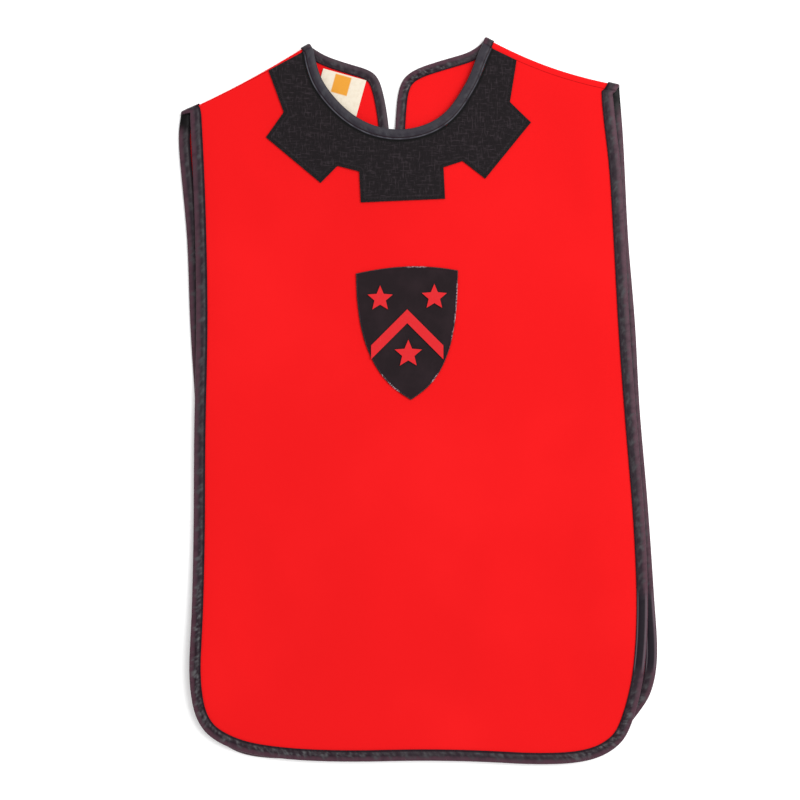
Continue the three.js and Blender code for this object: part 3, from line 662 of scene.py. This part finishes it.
satin = Finish("black_satin", specular_ior_level=0.12, sheen_weight=0.02, sheen_roughness=0.4)
names = ["along", "across", "shade", "plum", "gathered", "ridge"]
along, across, shade, plum, gathered, ridge = [satin.kept(name) for name in names]
strip = satin.add("ShaderNodeCombineXYZ", inputs={"X": along + across * 0.005, "Y": across * 0.010})
blotch = satin.noise(strip, 130, 2, 0.5)
crumple = satin.noise(satin.stretched(strip, 1, 0.75, 1), 230, 2, 0.5)
cross_threads = satin.noise(satin.stretched(strip, 1, 0.1, 1), 1500, 2)
wander = (crumple - 0.5) * 0.28 + (blotch - 0.5) * 0.3
near_fold = 1 - (across + wander).step(0.12, 0.40)
near_rim = (across + wander * 0.4).step(0.74, 0.92)
taut = (0 - gathered).step(0.25, 0.55)
on_rim_line = across.step(0.80, 0.84) * (1 - across.step(0.89, 0.93))
on_line = across.step(0.08, 0.14) * (1 - across.step(0.17, 0.25)) + on_rim_line
# Blotches along the tape: painted shade in the darker ones, and painted sheen where its small crosswise
# wrinkles catch the light.
colour = satin.mix(blotch.step(0.36, 0.64), SATIN_WRINKLE_SHADE, SATIN)
colour = satin.mix(blotch.step(0.44, 0.66) * crumple.step(0.36, 0.64) * 0.85, colour, SATIN_GREY_SHEEN)
colour = satin.mix(gathered * (1 - crumple.step(0.34, 0.52)), colour, SATIN_SHADE)
colour = satin.mix(gathered * crumple.step(0.50, 0.70), colour, SATIN_LIT)
# Painted sheen along the fold: grey on some tapes, plum-tinted on others.
colour = satin.mix(near_fold * (1 - plum) * 0.6, colour, SATIN_GREY_SHEEN)
colour = satin.mix(near_fold * plum * (blotch.step(0.25, 0.5) * 0.5 + 0.4), colour, SATIN_PLUM_SHEEN)
colour = satin.mix(near_rim * 0.9, colour, SATIN_SHADE)
# On a ridged tape: a bluer tone, painted shade in the stitch groove, a painted highlight on the ridge beyond
# it, and a painted shadow along the rim where it lies against the collar.
colour = satin.mix(ridge * 0.45, colour, SATIN_BLUE)
colour = satin.mix(ridge * across.step(0.64, 0.72) * (1 - across.step(0.78, 0.82)) * 0.8, colour, SATIN_SHADE)
colour = satin.mix(ridge * on_rim_line * blotch.step(0.30, 0.60), colour, SATIN_RIDGE_HIGHLIGHT)
colour = satin.mix(ridge * across.step(0.94, 0.98), colour, SATIN_HOLLOW_SHADE)
# Where the tape is pulled taut: darker across its middle, with painted sheen lines along its fold and its
# stitches.
colour = satin.mix(taut * across.step(0.16, 0.26), colour, SATIN_TAUT)
colour = satin.mix(taut * on_line * 0.8, colour, SATIN_LINE_SHEEN)
# Painted shadow in the hollows where the back tape turns over the shoulder folds.
colour = satin.mix(shade, colour, SATIN_HOLLOW_SHADE)
satin.finished(
    base_color=colour, roughness=0.5 - blotch * 0.16 + near_rim * 0.25,
    normal=satin.bump(cross_threads + blotch + crumple, 0.0002, 0.45),
)

THREAD_BLACK = (0.008, 0.0065, 0.0075, 1)
thread = Finish("black_thread", base_color=THREAD_BLACK, roughness=0.5, specular_ior_level=0.3).finished()

EDGE_WIDTH = 0.0108
NECK_WIDTH = 0.0095
COLLAR_LAP = 0.0009
NECK_TOP = 0.0025
ARMHOLE_FLARE = {"more": 0.008, "reach": 0.006}
# Lengths at the back tape's two ends over which shadow is painted into the armhole hollows.
ARMHOLE_HOLLOWS = (0.024, 0.044)
SLIT_END = 0.0045
PITCH = 0.0028
STITCH_LENGTH = 0.0021
THREAD_RADIUS = 0.00021

back_edges = bound_edges(Wall(back_cloth))
front_edges = bound_edges(Wall(front_cloth))


def joined(*lines):
    """One stretch of edge made of several that follow each other."""
    return tuple(np.concatenate([line[k][:-1] for line in lines[:-1]] + [lines[-1][k]]) for k in range(2))


def starts(line):
    """The way along a stretch of edge at its first end."""
    return unit(line[0][SEAM_REACH] - line[0][0])


def ends(line):
    """The way back along a stretch of edge from its last end."""
    return unit(line[0][-1 - SEAM_REACH] - line[0][-1])


def without_end(line, length):
    kept = run_along(line[0])[-1] - run_along(line[0]) > length
    return line[0][kept], line[1][kept]


def without_start(line, length):
    kept = run_along(line[0]) > length
    return line[0][kept], line[1][kept]


def longest(lines):
    """The number of the longest stretch of edge."""
    return max(range(len(lines)), key=lambda k: run_along(lines[k][0])[-1])


# Round each panel the stretches run: side and hem, right seam, neck edge, left seam. Slips are short.
k = longest(back_edges)
back_side, back_seam_right, back_neck_right, back_neck_left, back_seam_left = back_edges[k:] + back_edges[:k]
k = longest(front_edges)
(front_side, slip_right, front_seam_right, front_neck, front_seam_left,
 slip_left) = front_edges[k:] + front_edges[:k]
front_side = joined(slip_left, front_side, slip_right)

tapes = {
    "back_edge_binding": Tape(
        "back_edge_tape", back_side, (ends(back_seam_left), starts(back_seam_right)),
        EDGE_WIDTH, ARMHOLE_FLARE, hollows=ARMHOLE_HOLLOWS,
    ),
    "back_neck_binding_right": Tape(
        "back_neck_tape_right", without_end(back_neck_right, SLIT_END), (ends(back_seam_right), None),
        NECK_WIDTH,
    ),
    "back_neck_binding_left": Tape(
        "back_neck_tape_left", without_start(back_neck_left, SLIT_END), (None, starts(back_seam_left)),
        NECK_WIDTH, plum=0.4,
    ),
    "front_edge_binding": Tape(
        "front_edge_tape", front_side, (ends(front_seam_left), starts(front_seam_right)),
        EDGE_WIDTH, ARMHOLE_FLARE,
    ),
    "front_neck_binding": Tape(
        "front_neck_tape", front_neck, (ends(front_seam_right), starts(front_seam_left)),
        NECK_WIDTH + COLLAR_LAP, top=NECK_TOP, puckers=0.6, plum=0.1, ridge=1.0,
    ),
}
for node, tape in tapes.items():
    dress(tape.piece, satin.material, "black_binding", node)
    name = f"{tape.piece.name}_stitches"
    above = stitches(name, tape.sewn, tape.up, PITCH, STITCH_LENGTH, THREAD_RADIUS)
    dress(above, thread, "black_binding")


# ---- Collar -----------------------------------------------------------------------------------------
# A ring of coarse black plain weave cut into five square tabs. Its neck edge lies against the binding,
# its shoulder ends are caught in the seams, and its cut edges are turned under and stitched down.

COLLAR_LEVELS = 3
EDGE_STEP = 0.0005
HEM_RISE = 0.00045
HEM_INSET = 0.0028
SHORT_EDGE = 4 * HEM_INSET
COARSE_YARN = 0.00118


def distance_from(piece, lines, attribute="from_edge"):
    """How far each point of a piece lies from the nearest of some lines, kept as an attribute."""
    points = np.concatenate([spaced(EDGE_STEP, line)[0] for line in lines])
    tree = KDTree(len(points))
    for k, spot in enumerate(points):
        tree.insert(spot, k)
    tree.balance()
    keep(piece.data, attribute, np.array([tree.find(vert.co)[2] for vert in piece.data.vertices]))


def inside(line, inset, rise):
    """A line inside a straight cut edge, on the cloth's upper face, with its ends drawn in as far."""
    middle, up = spaced(EDGE_STEP, *line)
    ahead = unit(middle[-1] - middle[0])
    along = run_along(middle)
    kept = (along > inset) & (along < along[-1] - inset)
    inward = unit(np.cross(up, ahead))
    return (middle + inward * inset + up * rise)[kept], up[kept]


collar = finer_copy("collar", "collar_cloth", COLLAR_LEVELS)
pull_neck(collar)
lay(collar)
collar_edges = bound_edges(Wall(collar))
k = longest(collar_edges)
cut_edges = (collar_edges[k:] + collar_edges[:k])[2:-1]
distance_from(collar, [line[0] for line in cut_edges])
distance_from(collar, [collar_edges[k][0]], "from_neck")

LINEN = (0.0034, 0.0018, 0.0027)
LINEN_YARN = (0.0105, 0.0074, 0.0090)
LINEN_FLECK = (0.0370, 0.0270, 0.0325)
LINEN_HEM = (0.0045, 0.0030, 0.0036)
LINEN_SHADE = (0.0008, 0.0005, 0.0007)
TAPE_SHADE = 0.00208

linen = Finish("black_linen", roughness=0.92, specular_ior_level=0.16, sheen_weight=0.05, sheen_roughness=0.6)
point = linen.point()
x, y = linen.across_and_up(point)
wander = linen.noise(point, 60, 2) * (0.8 * COARSE_YARN)
warp = abs((x + wander).wave(2 * COARSE_YARN))
weft = abs((y + wander).wave(2 * COARSE_YARN))
slub_up = linen.noise(linen.stretched(point, 1, 0.17, 1), 880, 1.5)
slub_over = linen.noise(linen.stretched(point, 0.17, 1, 1), 880, 1.5)
in_hem = linen.kept("from_edge") * (1 / HEM_INSET)
hem = 1 - in_hem.step(0.75, 1.05)
groove = in_hem.step(0.8, 1.0) * (1 - in_hem.step(1.0, 1.2))
hem_ridge_highlight = in_hem.step(1.1, 1.3) * (1 - in_hem.step(1.5, 1.9))
colour = linen.mix((warp * weft).step(0.25, 0.9), LINEN, LINEN_YARN)
colour = linen.mix(slub_up.step(0.52, 0.74) * warp * 0.7, colour, LINEN_FLECK)
colour = linen.mix(slub_over.step(0.52, 0.74) * weft * 0.7, colour, LINEN_FLECK)
colour = linen.mix(hem * 0.5, colour, LINEN_HEM)
# Painted shade in the hem's stitch groove, and a painted highlight on the ridge beside it.
colour = linen.mix(groove * 0.75, colour, LINEN_SHADE)
colour = linen.mix(hem_ridge_highlight * 0.14, colour, LINEN_FLECK)
colour = linen.mix(1 - linen.kept("from_neck").step(COLLAR_LAP, COLLAR_LAP + TAPE_SHADE), colour, LINEN_SHADE)
linen.finished(
    base_color=colour,
    normal=linen.bump(warp * weft + slub_up * 0.7 + slub_over * 0.7 - hem * 0.4, 0.0003, 0.8),
)
dress(collar, linen.material, "black_linen", "collar")

long_edges = [line for line in cut_edges if run_along(line[0])[-1] > SHORT_EDGE]
for k, edge in enumerate(long_edges):
    line, up = inside(edge, HEM_INSET, HEM_RISE)
    piece = stitches(f"collar_stitches_{k}", line, up, PITCH, STITCH_LENGTH, THREAD_RADIUS)
    dress(piece, thread, "black_linen")


# ---- Shield patch -----------------------------------------------------------------------------------
# A heater shield of smooth black cloth, sewn down with a close zigzag of shiny black thread. The red
# figures on it, a plain chevron between three stars, are thick heat-pressed flock.

PATCH_LEVELS = 3
FIGURE_LEVELS = 2
ZIGZAG_PITCH = 0.0006
ZIGZAG_LENGTH = 0.0017
ZIGZAG_THREAD = 1.15 * THREAD_RADIUS
ZIGZAG_SLANT = 0.35
ZIGZAG_INSET = 0.0003
ZIGZAG_RISE = 0.0005
ZIGZAG_EVEN = 2

patch = finer_copy("shield_patch", "shield_cloth", PATCH_LEVELS)
lay(patch)
patch_edges = bound_edges(Wall(patch))
distance_from(patch, [line[0] for line in patch_edges])

PATCH = (0.0080, 0.0030, 0.0048)
PATCH_LIT = (0.0130, 0.0058, 0.0082)
ZIGZAG_GLINT = (0.42, 0.33, 0.37)

patch_finish = Finish("black_patch", roughness=0.62, specular_ior_level=0.12, sheen_weight=0.01)
point = patch_finish.point()
x, y = patch_finish.across_and_up(point)
twill = abs((x + y * 0.6).wave(0.0009))
shade = patch_finish.noise(point, 45, 3)
near_edge = 1 - patch_finish.kept("from_edge").step(0.001, 0.0035)
colour = patch_finish.mix(shade.step(0.4, 0.7), PATCH, PATCH_LIT)
colour = patch_finish.mix(near_edge * 0.6, colour, SATIN_SHADE)
patch_finish.finished(base_color=colour, normal=patch_finish.bump(twill + shade, 0.0001, 0.5))
dress(patch, patch_finish.material, "black_patch", "shield_patch")

zigzag_finish = Finish("zigzag_thread", roughness=0.35, specular_ior_level=0.4)
point = zigzag_finish.point()
glints = zigzag_finish.noise(point, 38, 2).step(0.54, 0.62)
glints *= zigzag_finish.noise(point, 700, 1).step(0.40, 0.60)
zigzag_finish.finished(base_color=zigzag_finish.mix(glints, THREAD_BLACK[:3], ZIGZAG_GLINT))

for k, (middle, up) in enumerate(patch_edges):
    ahead = unit(np.gradient(softened(middle, ZIGZAG_EVEN), axis=0))
    inward = unit(np.cross(up, ahead))
    slant = unit(inward + ahead * ZIGZAG_SLANT)
    over_edge = middle + inward * ZIGZAG_INSET + up * ZIGZAG_RISE
    piece = stitches(
        f"shield_zigzag_{k}", over_edge, up, ZIGZAG_PITCH, ZIGZAG_LENGTH, ZIGZAG_THREAD, slant,
    )
    dress(piece, zigzag_finish.material, "black_patch")

FLOCK = (0.54, 0.010, 0.014)
FLOCK_SPECK = (0.60, 0.05, 0.058)

flock = Finish("red_flock", roughness=0.7, specular_ior_level=0.15, sheen_weight=0.04)
point = flock.point()
specks = flock.noise(point, 1400, 2)
patches = flock.noise(point, 160, 2)
colour = flock.mix(specks.step(0.62, 0.76) * 0.8, FLOCK, FLOCK_SPECK)
flock.finished(base_color=colour, roughness=0.75 - patches * 0.25, normal=flock.bump(specks, 0.0001, 0.6))
for node in ["chevron", "star_left", "star_right", "star_base"]:
    figure = finer_copy(node, f"{node}_flock", FIGURE_LEVELS)
    lay(figure)
    dress(figure, flock.material, "red_figure", node)


# ---- Neck label -------------------------------------------------------------------------------------
# A cream label of fine woven polyester with faint ribs across it. Its top edge is caught under the back
# neck binding, and it is bare but for a plain orange woven block.

LABEL_LEVELS = 2
LABEL_TILT = math.radians(-15.6)

label = finer_copy("neck_label", "label_cloth", LABEL_LEVELS)
across_label = np.array((math.cos(LABEL_TILT), math.sin(LABEL_TILT), 0))
down_label = np.array((math.sin(LABEL_TILT), -math.cos(LABEL_TILT), 0))
for name, way in [("over", across_label), ("down", down_label)]:
    reach = points_of(label.data) @ way
    keep(label.data, name, (reach - reach.min()) / (reach.max() - reach.min()))

CREAM = (0.66, 0.59, 0.48)
CREAM_DEEP = (0.58, 0.50, 0.38)
ORANGE = (0.62, 0.26, 0.020)
BLOCK = {"left": 0.30, "right": 0.67, "top": 0.03, "bottom": 0.40, "soft": 0.015}

woven = Finish("woven_label", roughness=0.7, specular_ior_level=0.3)
over = woven.kept("over")
down = woven.kept("down")


def within(value, low, high, soft):
    """1 where a value lies between low and high, with soft ends."""
    return value.step(low - soft, low + soft) * (1 - value.step(high - soft, high + soft))


block = within(over, BLOCK["left"], BLOCK["right"], BLOCK["soft"])
block *= within(down, BLOCK["top"], BLOCK["bottom"], BLOCK["soft"])
ribs = abs(down.wave(0.022))
colour = woven.mix(woven.noise(woven.point(), 260, 2).step(0.4, 0.75) * 0.5, CREAM, CREAM_DEEP)
colour = woven.mix(block, colour, ORANGE)
woven.finished(base_color=colour, normal=woven.bump(ribs, 0.00008, 0.6))
dress(label, woven.material, "cream_label", "neck_label")
